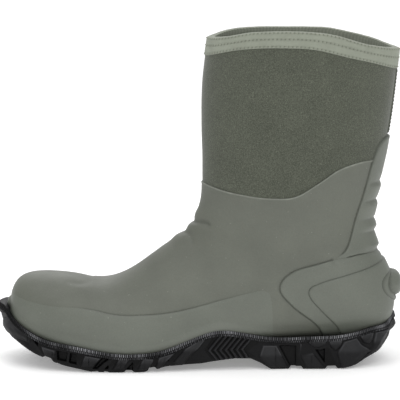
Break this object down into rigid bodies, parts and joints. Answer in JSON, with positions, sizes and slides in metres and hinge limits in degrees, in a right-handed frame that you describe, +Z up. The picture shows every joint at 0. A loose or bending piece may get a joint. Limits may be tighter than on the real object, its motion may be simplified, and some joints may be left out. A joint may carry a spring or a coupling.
{
  "type": "insulated hunting boot",
  "caption": "Mid-height insulated rubber hunting boot, right foot: moulded rubber foot with a lugged outsole, soft knit-faced foam shaft, taped top edge, and an ankle that flexes.",
  "frame": {"origin": "on the ground under the middle of the boot's box", "axes": "+Z up, +X towards the heel, so the toe points to -X; -Y is the wearer's inner side of this right boot"},
  "size_m": [0.3222, 0.1186, 0.2662],
  "materials": {
    "shell_rubber": "satin",
    "overlay_rubber": "satin",
    "outsole_rubber": "matte",
    "neoprene": "matte knit",
    "lining": "matte knit",
    "binding_tape": "matte woven",
    "thread": "matte",
    "midsole_foam": "matte",
    "spring_steel": "satin",
    "fibre_board": "matte",
    "footbed_foam": "matte"
  },
  "bodies": {
    "foot": {"outsole": "outsole_rubber", "arch_insert": "overlay_rubber", "midsole": "midsole_foam", "steel_shank": "spring_steel", "insole_board": "fibre_board", "foot_shell": "shell_rubber", "bootie_foot": "lining", "toe_puff": "fibre_board", "heel_counter": "fibre_board", "toe_rand": "overlay_rubber", "heel_overlay": "overlay_rubber", "heel_cup_panel": "overlay_rubber", "heel_spur": "overlay_rubber", "ankle_bellows": "shell_rubber", "bootie_ankle": "lining", "back_flex_panel": "overlay_rubber"},
    "shaft": {"shaft_shell": "shell_rubber", "neoprene_shaft": "neoprene", "top_binding": "binding_tape", "binding_stitch_upper": "thread", "binding_stitch_middle": "thread", "binding_stitch_lower": "thread", "back_seam_tape": "binding_tape"},
    "footbed": {"footbed": "footbed_foam"}
  },
  "joints": [
    {"name": "ankle_flex", "type": "hinge", "parent": "foot", "child": "shaft", "pos_m": [0.09, -0.00193, 0.076], "axis": [0, -1, 0], "range_deg": [-10, 15], "stiffness_Nm_per_rad": 12, "deforming": ["ankle_bellows", "bootie_ankle", "back_flex_panel"]},
    {"name": "footbed_lift", "type": "hinge", "parent": "foot", "child": "footbed", "pos_m": [-0.132, -0.00193, 0.033], "axis": [0, -1, 0], "range_deg": [0, 5]}
  ]
}
